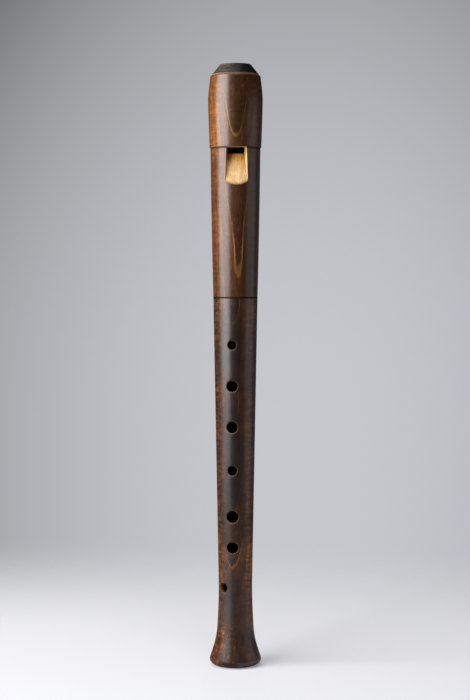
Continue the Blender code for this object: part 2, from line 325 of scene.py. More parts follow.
def loft(mesh_tool, rings):
    """Closed skin over a stack of rings that have equally many points."""
    loops = [[mesh_tool.verts.new(point) for point in ring] for ring in rings]
    count = len(loops[0])
    for low, high in zip(loops, loops[1:]):
        for here in range(count):
            ahead = (here + 1) % count
            mesh_tool.faces.new((low[here], low[ahead], high[ahead], high[here]))
    mesh_tool.faces.new(list(reversed(loops[0])))
    mesh_tool.faces.new(loops[-1])


def cutter(name, rings_of_shapes, surface):
    """Cutting tool made of one or more lofts, whose material ends up on the cut."""
    mesh_tool = bmesh.new()
    for rings in rings_of_shapes:
        loft(mesh_tool, rings)
    bmesh.ops.triangulate(mesh_tool, faces=mesh_tool.faces)
    return add_object(name, mesh_tool, [surface])


def shade(target):
    """Shades the target smooth between its sharp edges."""
    target.data.shade_smooth()
    target.data.set_sharp_from_angle(angle=SHARP_ANGLE)


def carve(target, tools):
    """Cuts the tools out of the target for good and shades the result."""
    for tool in tools:
        boolean = target.modifiers.new(tool.name, "BOOLEAN")
        boolean.operation = "DIFFERENCE"
        boolean.solver = "EXACT"
        boolean.material_mode = "TRANSFER"
        boolean.object = tool
    bpy.context.view_layer.update()
    evaluated = target.evaluated_get(bpy.context.evaluated_depsgraph_get())
    carved = bpy.data.meshes.new_from_object(evaluated)
    rough = target.data
    target.modifiers.clear()
    target.data = carved
    bpy.data.meshes.remove(rough)
    carved.name = target.name
    for tool in tools:
        bpy.data.objects.remove(tool, do_unlink=True)
    shade(target)


# Body joint


def bell_lip():
    """Underside of the bell, from the ring that it stands on out to its widest edge."""
    slope = (BELL_RADIUS - FLARE_RADIUS) / (FLARE_HEIGHT - LIP_HEIGHT)
    last = math.atan(slope * LIP_HEIGHT / LIP_DEPTH)
    points = []
    for step in range(LIP_STEPS + 1):
        angle = -math.pi / 2 + (math.pi / 2 + last) * step / LIP_STEPS
        points.append((BELL_RADIUS - LIP_DEPTH + LIP_DEPTH * math.cos(angle),
                       LIP_HEIGHT + LIP_HEIGHT * math.sin(angle)))
    return points


def body_outline():
    cork_bottom = BODY_LENGTH + CORK_SET_BACK
    tenon_top = BODY_LENGTH + TENON_LENGTH
    flare = (
        (FLARE_RADIUS, FLARE_HEIGHT, FLARE_ROUNDING),
        (WAIST_RADIUS, WAIST_HEIGHT, WAIST_ROUNDING),
    )
    tenon = (
        (JOINT_RADIUS, BODY_LENGTH, SEAM_ROUNDING),
        (TENON_RADIUS, BODY_LENGTH, 0),
        (TENON_RADIUS, cork_bottom, 0),
        (CORK_BED_RADIUS, cork_bottom, 0),
        (CORK_BED_RADIUS, cork_bottom + CORK_BAND, 0),
        (TENON_RADIUS, cork_bottom + CORK_BAND, 0),
        (TENON_RADIUS, tenon_top, EDGE_ROUNDING),
    )
    bore = (
        (TENON_BORE_RADIUS, tenon_top, EDGE_ROUNDING),
        (THROAT_RADIUS, THROAT_HEIGHT, 0),
        (BELL_BORE_RADIUS, 0.0, EDGE_ROUNDING),
    )
    return outline(sharp(bell_lip()) + list(flare) + list(tenon) + list(bore))


def skin_radius(points, height):
    """Outer radius of a turned outline at a height."""
    widest = 0.0
    for number, (radius, here) in enumerate(points):
        next_radius, there = points[(number + 1) % len(points)]
        if here != there and min(here, there) <= height <= max(here, there):
            share = (height - here) / (there - here)
            widest = max(widest, radius + (next_radius - radius) * share)
    return widest


def hole_rings(points, height, diameter, turn):
    """Hole through one wall: wider at the bore, with a rim rounded evenly along the curved skin."""
    outwards = Vector((math.sin(turn), -math.cos(turn), 0.0))
    across = Vector((math.cos(turn), math.sin(turn), 0.0))
    profile = []
    for step in range(RIM_STEPS + 1):
        angle = RIM_TURN * step / RIM_STEPS
        profile.append((RIM_ROUNDING * (1 - math.cos(angle)), RIM_ROUNDING * (1 - math.sin(angle))))
    last_widening, last_depth = profile[-1]
    widest = last_widening + (last_depth + RIM_PROUD) * math.tan(RIM_TURN)
    profile += [(widest, -RIM_PROUD), (widest, -CUTTER_OVERSHOOT)]
    angles = [math.tau * number / HOLE_SEGMENTS for number in range(HOLE_SEGMENTS)]
    inner = []
    radius = diameter / 2 + UNDERCUT
    for angle in angles:
        inner.append(outwards * DRILL_START + across * radius * math.cos(angle)
                     + Vector((0.0, 0.0, height + radius * math.sin(angle))))
    rings = [inner]
    for widening, depth in profile:
        radius = diameter / 2 + widening
        ring = []
        for angle in angles:
            aside = radius * math.cos(angle)
            up = height + radius * math.sin(angle)
            out = math.sqrt(skin_radius(points, up) ** 2 - aside ** 2) - depth
            ring.append(outwards * out + across * aside + Vector((0.0, 0.0, up)))
        rings.append(ring)
    return rings


def make_body(wood, bore_wood, bare):
    def place(radius, height):
        return 1 if radius < BODY_BORE_WITHIN else 0

    points = body_outline()
    body = turned("body_joint_turned", points, [wood, bore_wood], place)
    drills = [hole_rings(points, *hole) for hole in (*FINGER_HOLES, THUMB_HOLE)]
    carve(body, [cutter("hole_drills", drills, bare)])
    return body


def make_cork(cork):
    low = BODY_LENGTH + CORK_SET_BACK + CORK_BED_GAP
    high = BODY_LENGTH + CORK_SET_BACK + CORK_BAND - CORK_BED_GAP
    band = turned("cork_lapping", outline((
        (CORK_OUTER_RADIUS, low, CORK_ROUNDING),
        (CORK_OUTER_RADIUS, high, CORK_ROUNDING),
        (CORK_INNER_RADIUS, high, 0),
        (CORK_INNER_RADIUS, low, 0),
    )), [cork])
    shade(band)
    return band


# Head joint, heights from the seam


def head_outline():
    foot = (JOINT_RADIUS, SEAT_GAP)
    shank_top = (SHANK_RADIUS, STEP_HEIGHT)
    barrel_foot = (STEP_RADIUS, STEP_HEIGHT + STEP_DEPTH / 2)
    barrel = (BARREL_RADIUS, BARREL_HEIGHT)
    shoulder = (SHOULDER_RADIUS, SHOULDER_HEIGHT)
    outside = [(*foot, SEAM_ROUNDING)]
    outside += sharp(bowed(foot, shank_top, SHANK_BOW))
    outside += [(*shank_top, 0), (*barrel_foot, STEP_DEPTH / 2)]
    outside += sharp(bowed(barrel_foot, barrel, BARREL_BOW, BARREL_STEPS))
    outside += [(*barrel, BARREL_ROUNDING)]
    outside += sharp(bowed(barrel, shoulder, BARREL_BOW, BARREL_STEPS))
    outside += [(*shoulder, CROWN_ROUNDING), (TIP_RADIUS, HEAD_LENGTH, EDGE_ROUNDING)]
    inside = [
        (HEAD_BORE_RADIUS, HEAD_LENGTH, 0),
        (HEAD_BORE_RADIUS, SOCKET_DEPTH, 0),
        (SOCKET_RADIUS, SOCKET_DEPTH, 0),
        (SOCKET_RADIUS, SEAT_GAP, EDGE_ROUNDING),
    ]
    return outline(outside + inside)


def arch(radius, half_width, height):
    """Points of an arc about the bore's axis, on its -Y side, from -X to +X."""
    reach = math.asin(half_width / radius)
    points = []
    for step in range(ARCH_SEGMENTS + 1):
        angle = reach * (2 * step / ARCH_SEGMENTS - 1)
        points.append(Vector((radius * math.sin(angle), -radius * math.cos(angle), height)))
    return points


def channel_rings(levels, back):
    """Rings of an arched channel from (height, radius) levels, closed by a flat side at depth back."""
    rings = []
    for height, radius in levels:
        ring = arch(radius, WINDWAY_HALF_WIDTH, height)
        ring.append(Vector((WINDWAY_HALF_WIDTH, back, height)))
        ring.append(Vector((-WINDWAY_HALF_WIDTH, back, height)))
        rings.append(ring)
    return rings


def windway_roof_rings():
    """Channel in the wall of the bore, from the window up through the tip."""
    return channel_rings((
        (WINDOW_TOP - CUT_UP / 2, HEAD_BORE_RADIUS + ROOF_RISE_EXIT),
        (HEAD_LENGTH + CUTTER_OVERSHOOT, HEAD_BORE_RADIUS + ROOF_RISE_ENTRY),
    ), -HEAD_BORE_RADIUS / 2)


def windway_floor_rings():
    """Shallow flat along the block under the windway, deeper at the player's end."""
    return channel_rings((
        (WINDOW_TOP - CUTTER_OVERSHOOT, HEAD_BORE_RADIUS - FLOOR_DROP_EXIT),
        (WINDOW_TOP + WINDWAY_LENGTH + CUTTER_OVERSHOOT, HEAD_BORE_RADIUS - FLOOR_DROP_ENTRY),
    ), -(HEAD_BORE_RADIUS + CUTTER_OVERSHOOT))


def window_ring(height, inner):
    """Ring of the window cutter: its inner edge, then out along both splayed side walls."""
    outer = BARREL_RADIUS + CUTTER_OVERSHOOT
    last = inner[-1]
    far = last[0] + (outer + last[1]) * math.tan(WINDOW_SPLAY)
    ring = [Vector((x, y, height)) for x, y in inner]
    ring.append(Vector((far, -outer, height)))
    ring.append(Vector((-far, -outer, height)))
    return ring


def mouth_edge():
    """Inner edge of the window's open part, inside the bore."""
    half_width = WINDOW_WIDTH / 2
    depth = HEAD_BORE_RADIUS / 2
    wall_depth = math.sqrt(LABIUM_RADIUS ** 2 - half_width ** 2)
    reach = half_width - (wall_depth - depth) * math.tan(WINDOW_SPLAY)
    return [(reach * (2 * step / ARCH_SEGMENTS - 1), -depth) for step in range(ARCH_SEGMENTS + 1)]


def ramp_edge(drop, run):
    """Ramp's arched cross-section at a drop below the labium's edge."""
    depth = LABIUM_RADIUS + drop * math.tan(RAMP_SLOPE)
    half_width = WINDOW_WIDTH / 2 + drop * math.tan(RAMP_SPREAD)
    top_arch = LABIUM_RADIUS - math.sqrt(LABIUM_RADIUS ** 2 - (WINDOW_WIDTH / 2) ** 2)
    rise = top_arch + (RAMP_FOOT_ARCH - top_arch) * drop / run
    points = []
    for step in range(ARCH_SEGMENTS + 1):
        across = 2 * step / ARCH_SEGMENTS - 1
        points.append((half_width * across, -depth + rise * across ** 2))
    return points


def window_rings():
    """Window and ramp in one: open to the bore down to the labium, then sloping out."""
    run = (STEP_RADIUS + CUTTER_OVERSHOOT - LABIUM_RADIUS) / math.tan(RAMP_SLOPE)
    rings = [
        window_ring(WINDOW_TOP, mouth_edge()),
        window_ring(LABIUM_HEIGHT + LABIUM_EDGE, mouth_edge()),
    ]
    for level in range(RAMP_LEVELS + 1):
        drop = run * level / RAMP_LEVELS
        rings.append(window_ring(LABIUM_HEIGHT - drop, ramp_edge(drop, run)))
    return rings


def beak_rings():
    """Roller across the back whose side leaves the hollow of the beak, at the head's height."""
    low = Vector((BARREL_RADIUS, HEAD_LENGTH - BEAK_LENGTH))
    high = Vector((BEAK_BEHIND_AXIS, HEAD_LENGTH))
    chord = high - low
    off = math.sqrt(BEAK_HOLLOW_RADIUS ** 2 - (chord.length / 2) ** 2)
    centre = (low + high) / 2 + Vector((chord.y, -chord.x)).normalized() * off
    half_length = BARREL_RADIUS + CUTTER_OVERSHOOT
    rings = []
    for x in (-half_length, half_length):
        ring = []
        for number in range(BEAK_SEGMENTS):
            angle = math.tau * number / BEAK_SEGMENTS
            ring.append(Vector((x, centre.x + BEAK_HOLLOW_RADIUS * math.cos(angle),
                                centre.y + BEAK_HOLLOW_RADIUS * math.sin(angle))))
        rings.append(ring)
    return rings


def place_on_body(piece):
    """Turns and lifts a mesh made in the head's own frame to where the head sits."""
    piece.data.transform(Matrix.Translation((0, 0, BODY_LENGTH * MM)) @ Matrix.Rotation(HEAD_TURN, 4, "Z"))


def make_head(wood, bore_wood, crown, bare):
    def place(radius, height):
        if radius < (SOCKET_WITHIN if height < SOCKET_DEPTH + 1 else HEAD_BORE_WITHIN):
            return 1
        return 2 if height > CHARRED_FROM else 0

    head = turned("head_joint_turned", head_outline(), [wood, bore_wood, crown], place)
    carve(head, [
        cutter("windway_roof_float", [windway_roof_rings()], bare),
        cutter("window_chisel", [window_rings()], bare),
        cutter("beak_roller", [beak_rings()], wood),
    ])
    place_on_body(head)
    return head


def make_block(cedar):
    block = turned("block_turned", outline((
        (BLOCK_RADIUS, WINDOW_TOP, EDGE_ROUNDING),
        (BLOCK_RADIUS, WINDOW_TOP + WINDWAY_LENGTH, 0),
        (0.0, WINDOW_TOP + WINDWAY_LENGTH, 0),
        (0.0, WINDOW_TOP, 0),
    )), [cedar])
    carve(block, [
        cutter("windway_floor_float", [windway_floor_rings()], cedar),
        cutter("beak_roller", [beak_rings()], cedar),
    ])
    place_on_body(block)
    return block


# Materials


class Nodes:
    """Short calls that add nodes of each kind to one node tree and give back their result."""

    def __init__(self, tree):
        self.tree = tree

    def feed(self, value, socket):
        """Links a node's result to the socket, or sets a plain value on it."""
        if isinstance(value, bpy.types.NodeSocket):
            self.tree.links.new(value, socket)
        else:
            socket.default_value = value

    def add(self, kind, **values):
        """Node of a kind, with values for its inputs, in whose names an underscore is a space."""
        node = self.tree.nodes.new("ShaderNode" + kind)
        for name, value in values.items():
            self.feed(value, node.inputs[name.replace("_", " ")])
        return node

    def vector(self, operation, first, second=None, scale=None, offset=None):
        node = self.add("VectorMath")
        node.operation = operation
        self.feed(first, node.inputs[0])
        if second is not None:
            self.feed(second, node.inputs[1])
        if scale is not None:
            self.feed(scale, node.inputs["Scale"])
        if offset is not None:
            self.feed(offset, node.inputs[2])
        return node.outputs["Value" if operation in ("LENGTH", "DOT_PRODUCT") else "Vector"]

    def apart(self, vector):
        """X, Y and Z of a vector."""
        return self.add("SeparateXYZ", Vector=vector).outputs

    def calc(self, operation, first, second=0.0, third=None):
        node = self.add("Math")
        node.operation = operation
        self.feed(first, node.inputs[0])
        self.feed(second, node.inputs[1])
        if third is not None:
            self.feed(third, node.inputs[2])
        return node.outputs[0]

    def times(self, first, second):
        return self.calc("MULTIPLY", first, second)

    def times_plus(self, first, second, third):
        return self.calc("MULTIPLY_ADD", first, second, third)

    def minus(self, first, second):
        return self.calc("SUBTRACT", first, second)


class Recipe(Nodes):
    """One material's node tree.

    Its place is in millimetres, in the frame that is lifted and turned as the piece is.
    """

    def __init__(self, name, lift=0.0, turn=0.0):
        self.material = bpy.data.materials.new(name)
        self.material.use_nodes = True
        super().__init__(self.material.node_tree)
        self.shader = self.tree.nodes["Principled BSDF"]
        self.place = self.vector("SCALE", self.add("TexCoord").outputs["Object"], scale=1 / MM)
        if lift or turn:
            lowered = self.vector("SUBTRACT", self.place, (0.0, 0.0, lift))
            own = self.add("VectorRotate", Vector=lowered, Angle=-turn)
            own.rotation_type = "Z_AXIS"
            self.place = own.outputs[0]
        self.x, self.y, self.z = self.apart(self.place)

    def radius(self):
        """Distance from the bore's axis."""
        return self.vector("LENGTH", self.vector("MULTIPLY", self.place, (1.0, 1.0, 0.0)))

    def noise(self, squeeze, detail=2.0, roughness=0.5, distortion=0.0):
        """Noise from 0 to 1, with squeeze features per millimetre along X, Y and Z."""
        where = self.vector("MULTIPLY", self.place, squeeze)
        node = self.add("TexNoise", Vector=where, Scale=1.0, Detail=detail, Roughness=roughness,
                        Distortion=distortion)
        return node.outputs["Fac"]

    def fade(self, value, start, end, low=0.0, high=1.0):
        """Smooth step from low at start to high at end."""
        node = self.add("MapRange", Value=value, From_Min=start, From_Max=end, To_Min=low, To_Max=high)
        node.interpolation_type = "SMOOTHSTEP"
        return node.outputs["Result"]

    def curve(self, value, points, scale=None):
        """Smooth curve through (value, result) points in rising order, its result times scale."""
        low = points[0][0]
        span = points[-1][0] - low
        share = self.calc("DIVIDE", self.minus(value, low), span)
        node = self.add("FloatCurve", Value=share)
        line = node.mapping.curves[0]
        spots = [((here - low) / span, result) for here, result in points]
        line.points[0].location = spots[0]
        line.points[1].location = spots[-1]
        for spot in spots[1:-1]:
            line.points.new(*spot)
        node.mapping.update()
        return node.outputs[0] if scale is None else self.times(node.outputs[0], scale)

    def ramp(self, value, stops):
        """Colour ramp with (position, colour) stops in rising order."""
        node = self.add("ValToRGB", Fac=value)
        marks = node.color_ramp.elements
        marks[0].position = stops[0][0]
        marks[1].position = stops[-1][0]
        for position, colour in stops[1:-1]:
            marks.new(position)
        for mark, (position, colour) in zip(marks, stops):
            mark.color = (*colour, 1.0)
        return node.outputs["Color"]

    def mix(self, share, first, second):
        """Mix of two colours, whose own sockets are inputs 6 and 7 and output 2 of the node."""
        node = self.add("Mix")
        node.data_type = "RGBA"
        self.feed(share, node.inputs[0])
        for value, socket in ((first, node.inputs[6]), (second, node.inputs[7])):
            self.feed((*value, 1.0) if isinstance(value, tuple) else value, socket)
        return node.outputs[2]

    def bump(self, height, depth, strength):
        """Relief from a height of 0 to 1 that stands for depth in millimetres."""
        return self.add("Bump", Strength=strength, Distance=depth * MM, Height=height).outputs["Normal"]

    def finish(self, colour, roughness, normal, gloss=0.5):
        """The finished material, where gloss is its specular level."""
        self.feed(colour, self.shader.inputs["Base Color"])
        self.feed(roughness, self.shader.inputs["Roughness"])
        self.feed(normal, self.shader.inputs["Normal"])
        self.shader.inputs["Specular IOR Level"].default_value = gloss
        return self.material

    def wax(self, amount, roughness, refraction, normal):
        """Clear layer over the stain, which carries the highlights."""
        self.feed(amount, self.shader.inputs["Coat Weight"])
        self.feed(normal, self.shader.inputs["Coat Normal"])
        self.shader.inputs["Coat Roughness"].default_value = roughness
        self.shader.inputs["Coat IOR"].default_value = refraction


def stained_maple(wood, tones, phase, drift, front_cut, front_tint_and_shade, side_tint_and_light,
                  line_shown, thinned, curl, blotch, flecked, ragged):
    """Maple under a dark stain: growth rings cut by the turning into V shapes, curl, fibre and flecks.

    tones are the linear colours of the dark, middle and light wood and of the ring lines. phase shifts
    the rings, drift slants them sideways and front_cut is the depth at which the front line cuts
    them. The two tints scale the colour at the front and on the sides, with painted shade on the
    front and painted light on the sides and back. line_shown is the strength of the ring lines, and
    thinned how much narrower they are. curl, blotch and flecked are strengths too, and ragged is how
    far the rings stray.
    """
    dark, middle, light, line = tones
    wander = wood.minus(wood.noise((0.03, 0.03, 0.012), 2.0), 0.5)
    jitter = wood.minus(wood.noise((0.35, 0.35, 0.3), 3.0, 0.6), 0.5)
    depth = wood.minus(front_cut, wood.y)
    depth = wood.times_plus(wood.x, drift, depth)
    depth = wood.times_plus(wander, 0.7, depth)
    depth = wood.times_plus(jitter, ragged, depth)
    year = wood.calc("FRACT", wood.calc("ADD", wood.calc("DIVIDE", depth, RING_SPACING), phase))
    growth = wood.fade(year, 0.0, 0.85)
    aside = wood.calc("ADD", 1.0, wood.calc("DIVIDE", wood.y, wood.radius()))
    uneven = wood.noise((0.1, 0.1, 0.04), 2.0)
    off_line = wood.calc("ABSOLUTE", wood.minus(year, 0.96))
    line_strength = wood.fade(wood.times(off_line, thinned), 0.042, 0.006)
    line_strength = wood.times(line_strength, wood.fade(uneven, 0.34, 0.62, 0.25, 1.0))
    line_strength = wood.times(line_strength, wood.fade(aside, 0.20, 0.11))
    line_strength = wood.times(line_strength, line_shown)

    fibre = wood.noise((1.1, 1.1, 0.16), 4.0, 0.7)
    streak = wood.noise((0.4, 0.4, 0.014), 3.0, 0.6)
    bars = wood.noise((0.10, 0.10, 0.55), 2.5, 0.55, 0.6)
    patches = wood.noise((0.09, 0.09, 0.06), 4.0, 0.62)
    specks = wood.noise((0.6, 0.6, 0.3), 3.0, 0.7)

    tone = wood.times(wood.times(growth, line_shown), GROWTH_SHARE)
    tone = wood.times_plus(streak, STREAK_SHARE, tone)
    tone = wood.times_plus(fibre, FIBRE_SHARE, tone)
    curl = wood.times(curl, wood.fade(aside, 0.03, 0.45, 0.35, 1.2))
    tone = wood.times_plus(wood.fade(bars, 0.38, 0.62, -0.55, 0.55), curl, tone)
    tone = wood.times_plus(wood.minus(patches, 0.5), blotch, tone)
    tone = wood.times_plus(specks, SPECK_SHARE, tone)
    middle_of_tone = 0.5 * (GROWTH_SHARE + STREAK_SHARE + FIBRE_SHARE + SPECK_SHARE)
    tone = wood.fade(tone, middle_of_tone - TONE_SPREAD, middle_of_tone + TONE_SPREAD)
    colour = wood.ramp(tone, ((0.0, dark), (0.5, middle), (1.0, light)))
    flecks = wood.fade(wood.noise((0.45, 0.45, 0.25), 3.0, 0.65), 0.56, 0.68)
    colour = wood.mix(wood.times(flecks, flecked), colour, line)
    colour = wood.mix(line_strength, colour, line)
    # Painted shade on the front and painted light on the sides and back
    lighter = wood.fade(aside, 0.0, 0.24)
    gain = wood.minus(side_tint_and_light, front_tint_and_shade)
    tint = wood.times_plus(lighter, gain, front_tint_and_shade)
    colour = wood.vector("SCALE", colour, scale=tint)

    roughness = wood.times_plus(fibre, 0.16, 0.34)
    roughness = wood.times_plus(patches, 0.1, roughness)
    relief = wood.times_plus(specks, 0.5, fibre)
    return colour, roughness, relief


def seam_shade(wood, distance):
    """Share from 0 to 1 of painted shade, standing for the shade in the seam's groove, within half a
    millimetre of the seam.
    """
    return wood.fade(wood.times_plus(wood.noise((0.5, 0.5, 0.5), 2.0), 0.25, distance), 0.85, 0.6)


def body_wood():
    """Stained maple of the body, whose curves are over the height, but waxed_round over X."""
    front_cut = ((0.0, 0.30), (20.0, 0.235), (36.8, 0.155), (60.0, 0.235), (82.0, 0.345),
                 (129.0, 0.515), (165.0, 0.59), (185.0, 0.625), (200.0, 0.643), (211.0, 0.649),
                 (222.0, 0.636), (250.0, 0.680), (279.0, 0.765), (295.0, 0.79))
    shown = ((0.0, 0.1), (45.0, 0.12), (62.0, 0.6), (75.0, 1.0), (95.0, 0.9), (115.0, 0.4),
             (129.0, 0.5), (150.0, 0.12), (195.0, 0.12), (206.0, 0.6), (216.0, 0.6), (228.0, 0.1),
             (265.0, 0.5), (295.0, 0.7))
    at_front = ((0.0, 0.40), (20.0, 0.42), (38.0, 0.30), (52.0, 0.22), (66.0, 0.24), (95.0, 0.46),
                (125.0, 0.22), (142.0, 0.10), (158.0, 0.10), (180.0, 0.17), (212.0, 0.21),
                (258.0, 0.14), (295.0, 0.45))
    aside = ((0.0, 0.57), (20.0, 0.72), (53.0, 0.50), (66.0, 0.56), (76.0, 0.68), (85.0, 0.66),
             (111.0, 0.44), (129.0, 0.42), (158.0, 0.44), (212.0, 0.46), (258.0, 0.46), (277.0, 0.60),
             (295.0, 0.72))
    waxed = ((0.0, 0.19), (18.0, 0.19), (48.0, 0.68), (80.0, 0.63), (111.0, 0.62), (143.0, 0.80),
             (177.0, 0.87), (213.0, 0.77), (245.0, 0.92), (270.0, 0.84), (295.0, 0.80))
    waxed_round = ((-14.0, 0.70), (-10.5, 0.68), (-8.2, 0.76), (-6.3, 0.96), (-4.0, 1.0), (-2.4, 1.0),
                   (-0.4, 0.70), (3.5, 0.70), (7.5, 0.85), (14.0, 0.85))
    curled = ((0.0, 0.28), (45.0, 0.35), (60.0, 0.4), (110.0, 0.62), (250.0, 0.58), (295.0, 0.52))
    wood = Recipe("stained_maple_body")
    plain = wood.times(wood.fade(wood.x, 0.0, 8.0, 0.0, 0.6), wood.fade(wood.z, 45.0, 140.0, 0.6, 1.0))
    curl = wood.times(wood.curve(wood.z, curled), wood.minus(1.0, plain))
    colour, roughness, relief = stained_maple(
        wood,
        BODY_TONES,
        phase=0.885,
        drift=0.0,
        front_cut=wood.curve(wood.z, front_cut, 20.0),
        front_tint_and_shade=wood.curve(wood.z, at_front, 2.0),
        side_tint_and_light=wood.curve(wood.z, aside, 3.0),
        line_shown=wood.curve(wood.z, shown),
        thinned=1.0,
        curl=curl,
        blotch=wood.fade(wood.z, 40.0, 25.0, 0.8, 1.25),
        flecked=wood.minus(0.4, plain),
        ragged=wood.fade(wood.z, 100.0, 140.0, 0.5, 1.0),
    )

    # Painted light on the right flank, a painted highlight left of the bell's middle and painted shade at
    # the bell's right
    at_bell = wood.fade(wood.z, 45.0, 22.0)
    above_bell = wood.fade(wood.z, 20.0, 60.0)
    thinner = wood.times(wood.fade(wood.x, 9.0, 11.5), wood.fade(wood.z, 260.0, 120.0, 0.4, 1.8))
    thinner = wood.times(thinner, wood.times(above_bell, wood.fade(wood.y, 9.0, -2.0)))
    bell_highlight = wood.times(wood.fade(wood.x, 0.0, -5.0), wood.fade(wood.x, -10.5, -7.5, 0.0, 1.1))
    thinner = wood.times_plus(bell_highlight, at_bell, thinner)
    shaded = wood.times(wood.fade(wood.x, 2.0, 7.0), at_bell)
    thinner = wood.times_plus(shaded, -0.4, thinner)
    colour = wood.vector("SCALE", colour, scale=wood.calc("ADD", 1.0, thinner))

    # Redder on the upper body, left of the finger holes, where the left lamp's highlight falls: a painted
    # tint of that highlight
    highlight_tint = wood.times(wood.fade(wood.x, 0.0, -4.0), wood.fade(wood.x, -10.0, -6.5))
    highlight_tint = wood.times(highlight_tint, wood.fade(wood.z, 120.0, 170.0))
    highlight_tint = wood.times(highlight_tint, wood.fade(wood.y, 0.0, -5.0))
    colour = wood.mix(highlight_tint, colour, wood.vector("MULTIPLY", colour, (1.75, 1.1, 0.98)))
    # Painted shade along the seam
    dark_line = seam_shade(wood, wood.minus(BODY_LENGTH, wood.z))
    colour = wood.mix(dark_line, colour, SEAM_SHADE)

    roughness = wood.calc("ADD", roughness, wood.fade(wood.z, 40.0, 18.0, 0.0, 0.15))
    coat = wood.times_plus(shaded, 0.5, wood.curve(wood.z, waxed))
    coat = wood.times(coat, wood.curve(wood.x, waxed_round))
    coat = wood.times(coat, wood.minus(1.0, dark_line))
    relief = wood.times(relief, wood.fade(wood.z, 45.0, 25.0, 1.0, 2.0))
    wood.wax(coat, 0.34, 1.9, wood.bump(relief, 0.03, 0.7))
    return wood.finish(colour, roughness, wood.bump(relief, 0.06, 0.7), 0.1)


def head_wood():
    """Stained maple of the head, whose curves are over the height, and the two of painted light and shade
    over X.
    """
    front_cut = ((0.0, 0.095), (10.0, 0.100), (18.0, 0.121), (28.0, 0.125), (40.0, 0.107),
                 (60.0, 0.124), (86.0, 0.292), (119.0, 0.318), (128.0, 0.364), (145.0, 0.423),
                 (157.0, 0.481), (176.5, 0.84), (185.0, 0.95))
    shown = ((0.0, 1.0), (60.0, 0.95), (110.0, 0.6), (128.0, 1.0), (150.0, 0.7), (165.0, 0.1),
             (185.0, 0.0))
    shank_light_across = ((-22.0, 0.52), (-15.0, 0.66), (-12.0, 0.58), (-8.0, 0.75), (-4.0, 0.62), (3.0, 0.50),
                   (7.5, 0.29), (12.0, 0.30), (22.0, 0.40))
    barrel_light_across = ((-22.0, 0.64), (-16.5, 1.0), (-12.5, 0.76), (-8.0, 0.66), (-4.0, 0.52), (1.0, 0.36),
                    (6.0, 0.31), (12.0, 0.30), (22.0, 0.40))
    wood = Recipe("stained_maple_head", BODY_LENGTH, HEAD_TURN)
    colour, roughness, relief = stained_maple(
        wood,
        HEAD_TONES,
        phase=0.2165,
        drift=wood.fade(wood.z, 30.0, 125.0, 0.065, -0.03),
        front_cut=wood.curve(wood.z, front_cut, 6.0),
        front_tint_and_shade=0.85,
        side_tint_and_light=1.45,
        line_shown=wood.curve(wood.z, shown),
        thinned=wood.fade(wood.z, 120.0, 126.0, 1.0, 1.8),
        curl=0.19,
        blotch=0.4,
        flecked=wood.fade(wood.z, 20.0, 45.0, 0.0, 0.15),
        ragged=0.3,
    )

    # The barrel is more golden than the shank; both have painted light on the left, brightest at the
    # barrel's left edge, and painted shade towards the right
    on_shank = wood.vector("SCALE", colour, scale=wood.curve(wood.x, shank_light_across))
    on_shank = wood.vector("MULTIPLY", on_shank, (0.98, 1.02, 1.25))
    on_shank = wood.vector("SCALE", on_shank, scale=wood.fade(wood.z, 55.0, 15.0, 1.0, 0.82))
    on_barrel = wood.vector("SCALE", colour, scale=wood.curve(wood.x, barrel_light_across))
    golden = wood.fade(wood.z, STEP_HEIGHT - 12.0, STEP_HEIGHT + 6.0)
    colour = wood.mix(golden, on_shank, wood.vector("MULTIPLY", on_barrel, (1.08, 1.28, 1.3)))
    colour = wood.vector("SCALE", colour, scale=2.0)
    # Painted shadow just under the step, joined with the painted shade along the seam
    step_shadow = wood.times(wood.fade(wood.z, STEP_HEIGHT - 1.4, STEP_HEIGHT - 0.8),
                           wood.fade(wood.z, STEP_HEIGHT + 0.2, STEP_HEIGHT - 0.1))
    dark_line = wood.calc("MAXIMUM", seam_shade(wood, wood.z), wood.times(step_shadow, 0.75))
    colour = wood.mix(dark_line, colour, SEAM_SHADE)

    worn = wood.times(wood.fade(wood.x, -9.0, -5.0), wood.fade(wood.z, 140.0, 168.0, 0.0, 0.6))
    coat = wood.times(wood.minus(1.0, worn), wood.minus(1.0, dark_line))
    dulled = wood.times(golden, wood.fade(wood.x, -8.5, -6.0, 0.0, 0.15))
    coat = wood.times(coat, wood.minus(1.0, dulled))
    wood.wax(coat, 0.29, 1.6, wood.bump(relief, 0.02, 0.7))
    return wood.finish(colour, roughness, wood.bump(relief, 0.06, 0.7), 0.1)


